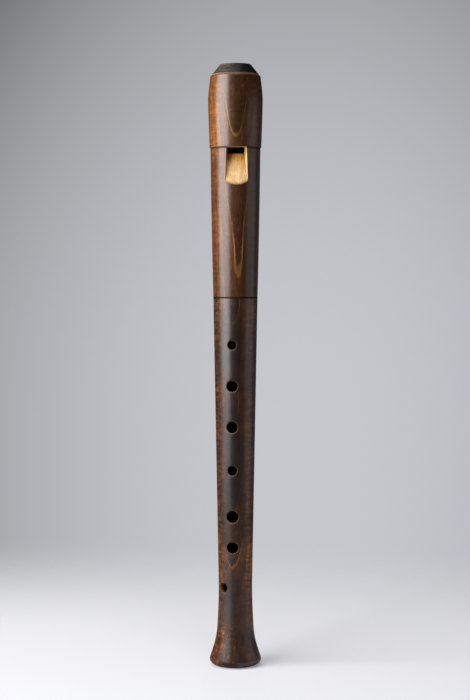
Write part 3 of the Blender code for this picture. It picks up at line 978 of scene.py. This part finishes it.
def charred_crown():
    """End grain of the tip, blackened and scraped, with painted light on its left, painted shadow on its
    right and a painted highlight along the shoulder's edge.
    """
    wood = Recipe("charred_end_grain", BODY_LENGTH, HEAD_TURN)
    scrape = wood.noise((0.1, 0.1, 1.1), 4.0, 0.7)
    pale = wood.times_plus(wood.noise((0.12, 0.12, 0.4), 3.0, 0.6), 5.0, wood.x)
    charcoal = wood.ramp(scrape, ((0.38, (0.009, 0.0075, 0.007)), (0.66, (0.068, 0.059, 0.054))))
    shadow_black = wood.ramp(scrape, ((0.32, (0.002, 0.002, 0.002)), (0.72, (0.006, 0.005, 0.005))))
    # Painted light on the left and painted shade on the right
    colour = wood.vector("SCALE", charcoal, scale=wood.fade(wood.x, -14.0, 1.0, 1.45, 0.55))
    # Paler along the top rim, on the left
    paler_rim = wood.times(wood.fade(wood.z, HEAD_LENGTH - 2.2, HEAD_LENGTH - 0.6),
                          wood.fade(wood.x, 2.0, -8.0))
    colour = wood.mix(wood.times(paler_rim, 0.7), colour, (0.13, 0.085, 0.06))
    # Painted highlight along the shoulder's rounded edge, on the left
    edge_highlight = wood.times(wood.fade(wood.z, CHARRED_FROM + 1.3, CHARRED_FROM + 0.5),
                           wood.fade(wood.x, 0.0, -12.0, 0.5, 1.0))
    edge_highlight = wood.times(edge_highlight, wood.fade(scrape, 0.3, 0.5, 0.6, 1.0))
    # Painted shadow, near black, towards the right
    colour = wood.mix(wood.fade(pale, 3.5, 8.0), colour, shadow_black)
    colour = wood.mix(edge_highlight, colour, (0.20, 0.115, 0.08))
    return wood.finish(colour, wood.fade(scrape, 0.3, 0.7, 0.65, 0.85), wood.bump(scrape, 0.10, 0.8), 0.1)


def bore_maple():
    """Oiled wall of the bore, darkened by use."""
    wood = Recipe("oiled_bore")
    fibre = wood.noise((1.4, 1.4, 0.08), 4.0, 0.6)
    patches = wood.noise((0.1, 0.1, 0.05), 3.0, 0.6)
    tone = wood.times_plus(patches, 0.5, wood.times(fibre, 0.5))
    colour = wood.ramp(tone, ((0.3, (0.07, 0.033, 0.014)), (0.7, (0.17, 0.085, 0.035))))
    return wood.finish(colour, wood.fade(fibre, 0.3, 0.7, 0.35, 0.55), wood.bump(fibre, 0.04, 0.5), 0.3)


def hole_maple():
    """Wall of a finger hole: bare wood browned by the iron that undercut it, under painted shade that turns
    it near black deeper in, and in every hole but the lowest.
    """
    wood = Recipe("browned_maple")
    fibre = wood.noise((0.5, 0.5, 1.2), 4.0, 0.6)
    patches = wood.noise((0.25, 0.25, 0.25), 3.0, 0.6)
    tone = wood.times_plus(patches, 0.6, wood.times(fibre, 0.4))
    raw = wood.ramp(tone, ((0.3, (0.10, 0.036, 0.008)), (0.7, (0.36, 0.15, 0.035))))
    painted_shade = wood.ramp(tone, ((0.3, (0.006, 0.003, 0.002)), (0.7, (0.018, 0.009, 0.005))))
    # Roughly how far each place is below the skin
    skin = wood.fade(wood.z, 60.0, 275.0, 13.15, 17.2)
    deep = wood.minus(skin, wood.radius())
    # Bare wood shows only near the skin of the lowest hole; elsewhere painted shade
    bare = wood.times(wood.fade(wood.z, 82.0, 72.0), wood.fade(deep, 3.6, 1.2))
    colour = wood.mix(bare, painted_shade, raw)
    colour = wood.mix(wood.fade(deep, 1.0, 0.4), colour, (0.13, 0.055, 0.025))
    return wood.finish(colour, 0.5, wood.bump(fibre, 0.05, 0.6), 0.3)


def window_maple():
    """Bare maple of the window and ramp, stained only where its edge meets the outside, with painted light
    and shade on the ramp and side walls.
    """
    wood = Recipe("bare_maple", BODY_LENGTH, HEAD_TURN)
    fibre = wood.noise((0.9, 0.9, 0.07), 4.0, 0.6)
    broad = wood.noise((0.16, 0.16, 0.03), 3.0, 0.55)
    fleck = wood.noise((0.8, 0.8, 0.45), 3.0, 0.6)
    tone = wood.times_plus(broad, 0.4, wood.times(fibre, 0.6))
    colour = wood.ramp(tone, ((0.36, (0.46, 0.225, 0.06)), (0.62, (0.76, 0.46, 0.18))))
    low = wood.fade(wood.z, LABIUM_HEIGHT, LABIUM_HEIGHT - 22.0)
    colour = wood.vector("MULTIPLY", colour, wood.mix(low, (1.0, 0.98, 0.86), (0.97, 1.16, 1.6)))
    # Painted light: lighter on the ramp's left, where the left wall shades it, and on its right near the
    # labium
    high = wood.fade(wood.z, LABIUM_HEIGHT - 18.0, LABIUM_HEIGHT - 8.0)
    highest = wood.fade(wood.z, LABIUM_HEIGHT - 11.0, LABIUM_HEIGHT - 5.0)
    painted_light = wood.fade(wood.x, -1.5, -6.0, 0.0, 0.8)
    painted_light = wood.times(painted_light, wood.times_plus(high, 0.9, 0.1))
    painted_light = wood.times_plus(wood.fade(wood.x, 2.0, 5.5, 0.0, 0.4), highest, painted_light)
    colour = wood.vector("SCALE", colour, scale=wood.calc("ADD", 1.0, painted_light))
    # Painted shade on the left side wall and painted light on the right one, by the way that each faces
    facing = wood.apart(wood.add("NewGeometry").outputs["True Normal"])["X"]
    shaded_left_wall = wood.fade(facing, 0.4, 0.8)
    colour = wood.mix(shaded_left_wall, colour, wood.vector("MULTIPLY", colour, (0.22, 0.15, 0.03)))
    lit_right_wall = wood.fade(facing, -0.4, -0.8)
    paler = wood.vector("MULTIPLY", colour, wood.mix(low, (1.08, 1.45, 1.95), (1.27, 1.45, 2.6)))
    colour = wood.mix(lit_right_wall, colour, paler)
    colour = wood.mix(wood.fade(fleck, 0.62, 0.72, 0.0, 0.6), colour, (0.42, 0.2, 0.07))
    slope = (SHANK_RADIUS - JOINT_RADIUS) / STEP_HEIGHT
    shank = wood.times_plus(wood.z, slope, JOINT_RADIUS + 0.12)
    below_skin = wood.minus(shank, wood.radius())
    bleed = wood.fade(wood.times_plus(fleck, 0.6, below_skin), 1.2, 0.4)
    colour = wood.mix(wood.times(bleed, 0.85), colour, (0.33, 0.14, 0.035))
    return wood.finish(colour, wood.fade(fibre, 0.3, 0.7, 0.42, 0.6), wood.bump(fibre, 0.05, 0.5), 0.25)


def cedar_wood():
    """Cedar of the block, with its rings seen from the quarter."""
    wood = Recipe("cedar", BODY_LENGTH, HEAD_TURN)
    fibre = wood.noise((1.2, 1.2, 0.08), 4.0, 0.6)
    rings = wood.noise((0.5, 0.06, 0.01), 3.0, 0.5)
    tone = wood.times_plus(rings, 0.6, wood.times(fibre, 0.4))
    colour = wood.ramp(tone, ((0.35, (0.27, 0.10, 0.045)), (0.65, (0.55, 0.27, 0.14))))
    return wood.finish(colour, wood.fade(fibre, 0.3, 0.7, 0.5, 0.7), wood.bump(fibre, 0.06, 0.6))


def cork_bark():
    """Cork in granules, with darker pores."""
    bark = Recipe("cork")
    grain = bark.add("TexVoronoi", Vector=bark.vector("SCALE", bark.place, scale=1.4))
    pores = bark.noise((0.9, 0.9, 0.9), 4.0, 0.7)
    tone = bark.times_plus(grain.outputs["Distance"], 0.5, bark.times(pores, 0.6))
    colour = bark.ramp(tone, (
        (0.3, (0.16, 0.08, 0.035)),
        (0.5, (0.5, 0.31, 0.16)),
        (0.8, (0.62, 0.42, 0.24)),
    ))
    return bark.finish(colour, 0.85, bark.bump(tone, 0.12, 0.8))


# Stage: pale floor, grey backdrop, soft lights and camera


def around(turn, distance, height):
    """Point at a turn from the camera's side of the object, counted towards +X."""
    return Vector((distance * math.sin(turn), -distance * math.cos(turn), height))


def softbox(name, place, target, width, height, radiance):
    """Area lamp that faces the target and isn't seen by the camera."""
    lamp = bpy.data.lights.new(name, "AREA")
    lamp.shape = "RECTANGLE"
    lamp.size = width
    lamp.size_y = height
    lamp.energy = radiance * math.pi * width * height
    box = bpy.data.objects.new(name, lamp)
    box.location = place
    box.rotation_euler = (target - place).to_track_quat("-Z", "Y").to_euler()
    box.visible_camera = False
    bpy.context.scene.collection.objects.link(box)
    return box


def make_lights():
    """Soft lamps, of which only the one behind isn't mirrored in the wood."""
    for name, (turn, distance, height, aim, width, tall, radiance) in LAMPS.items():
        place = around(CAMERA_TURN + turn, distance, height)
        box = softbox(name, place, Vector((0.0, 0.0, aim)), width, tall, radiance)
        box.visible_glossy = name != "softbox_back"


def make_floor():
    """Pale paper that thins out to show the backdrop; other surfaces get a duller light back from it."""
    bpy.ops.mesh.primitive_plane_add(size=FLOOR_SIZE)
    floor = bpy.context.object
    floor.name = "floor"
    paint = Recipe("floor_paper")
    tree = paint.tree
    ray = paint.add("LightPath").outputs
    seen = paint.calc("MAXIMUM", ray["Is Camera Ray"], ray["Is Transmission Ray"])
    mirrored = paint.calc("MAXIMUM", seen, ray["Is Glossy Ray"])
    from_front = paint.vector("MULTIPLY_ADD", paint.place, FLOOR_OVAL, offset=FLOOR_FORWARD)
    away = paint.fade(paint.vector("LENGTH", from_front), *FLOOR_THINS)
    near = paint.fade(paint.vector("LENGTH", paint.place), *FLOOR_DULLS)
    dull = paint.vector("SCALE", FLOOR_GREY, scale=near)
    colour = paint.mix(seen, dull, FLOOR_WHITE)
    tree.links.new(colour, paint.shader.inputs["Base Color"])
    paint.shader.inputs["Roughness"].default_value = 0.9
    paint.shader.inputs["Specular IOR Level"].default_value = 0.0
    paint.shader.inputs["Emission Color"].default_value = (*FLOOR_GLOW, 1.0)
    tree.links.new(seen, paint.shader.inputs["Emission Strength"])
    clear = paint.add("BsdfTransparent")
    blend = paint.add("MixShader", Fac=paint.times(away, mirrored))
    tree.links.new(paint.shader.outputs[0], blend.inputs[1])
    tree.links.new(clear.outputs[0], blend.inputs[2])
    tree.links.new(blend.outputs[0], tree.nodes["Material Output"].inputs["Surface"])
    floor.data.materials.append(paint.material)


def make_world():
    """Grey backdrop with a soft glow behind the object, as the camera sees it.

    Other rays find a dim even light, and mirrored ones a little of the backdrop too.
    """
    world = bpy.data.worlds.new("backdrop")
    world.use_nodes = True
    bpy.context.scene.world = world
    tree = world.node_tree
    tree.nodes.clear()
    sky = Nodes(tree)
    direction = sky.add("TexCoord").outputs["Generated"]
    parts = sky.apart(direction)
    sideways = sky.vector("DOT_PRODUCT", direction, (math.cos(CAMERA_TURN), math.sin(CAMERA_TURN), 0.0))
    above = sky.calc("MAXIMUM", sky.calc("ADD", parts["Z"], GLOW_DIP), 0.0)
    dimmed_up = sky.times(sky.calc("POWER", above, 2.0), DIMMING_UP)
    dimmed_up = sky.calc("MINIMUM", dimmed_up, MOST_DIMMED_UP)
    beside = sky.calc("ABSOLUTE", sky.minus(sideways, GLOW_ASIDE))
    dimmed_aside = sky.times(sky.calc("POWER", beside, 2.0), DIMMING_ASIDE)
    dimmed_aside = sky.calc("MINIMUM", dimmed_aside, MOST_DIMMED_ASIDE)
    in_corner = sky.times(sky.times(dimmed_up, dimmed_aside), CORNER_DIMMING)
    dimmed = sky.calc("ADD", sky.calc("ADD", dimmed_up, dimmed_aside), in_corner)
    glow = sky.minus(1.0, dimmed)

    seen = sky.add("Background", Color=(*BACKDROP_GREY, 1.0), Strength=glow)
    lit = sky.add("Background", Color=(*ROOM_GREY, 1.0))
    ray = sky.add("LightPath").outputs
    behind = sky.add("MapRange", Value=parts["Y"], From_Min=MIRRORED_FROM, From_Max=MIRRORED_TO,
                     To_Max=MIRRORED_SHARE)
    either = sky.times(ray["Is Glossy Ray"], behind.outputs["Result"])
    either = sky.calc("MAXIMUM", either, ray["Is Camera Ray"])
    either = sky.calc("MAXIMUM", either, ray["Is Transmission Ray"])
    blend = sky.add("MixShader", Fac=either)
    tree.links.new(lit.outputs[0], blend.inputs[1])
    tree.links.new(seen.outputs[0], blend.inputs[2])
    sky.add("OutputWorld", Surface=blend.outputs[0])


def make_camera():
    """Camera that sees the object as the photograph does."""
    lens = bpy.data.cameras.new("camera")
    lens.lens = CAMERA_LENS
    lens.sensor_width = CAMERA_SENSOR
    camera = bpy.data.objects.new("camera", lens)
    aside = Vector((math.cos(CAMERA_TURN), math.sin(CAMERA_TURN), 0.0)) * CAMERA_ASIDE
    camera.location = around(CAMERA_TURN, CAMERA_DISTANCE, CAMERA_HEIGHT) + aside
    camera.rotation_euler = (math.pi / 2 - CAMERA_DIP, 0.0, CAMERA_TURN)
    bpy.context.scene.collection.objects.link(camera)
    bpy.context.scene.camera = camera


def main():
    make_camera()
    bare = window_maple()
    bore_wood = bore_maple()
    body = make_body(body_wood(), bore_wood, hole_maple())
    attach(body, "body")
    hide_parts("body_joint")
    cork = make_cork(cork_bark())
    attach(cork, "lapping")
    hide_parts("tenon_cork")
    head = make_head(head_wood(), bore_wood, charred_crown(), bare)
    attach(head, "head")
    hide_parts("head_joint")
    block = make_block(cedar_wood())
    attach(block, "fipple")
    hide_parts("block")
    make_lights()
    make_floor()
    make_world()
    bpy.context.scene.view_settings.view_transform = "Standard"


main()
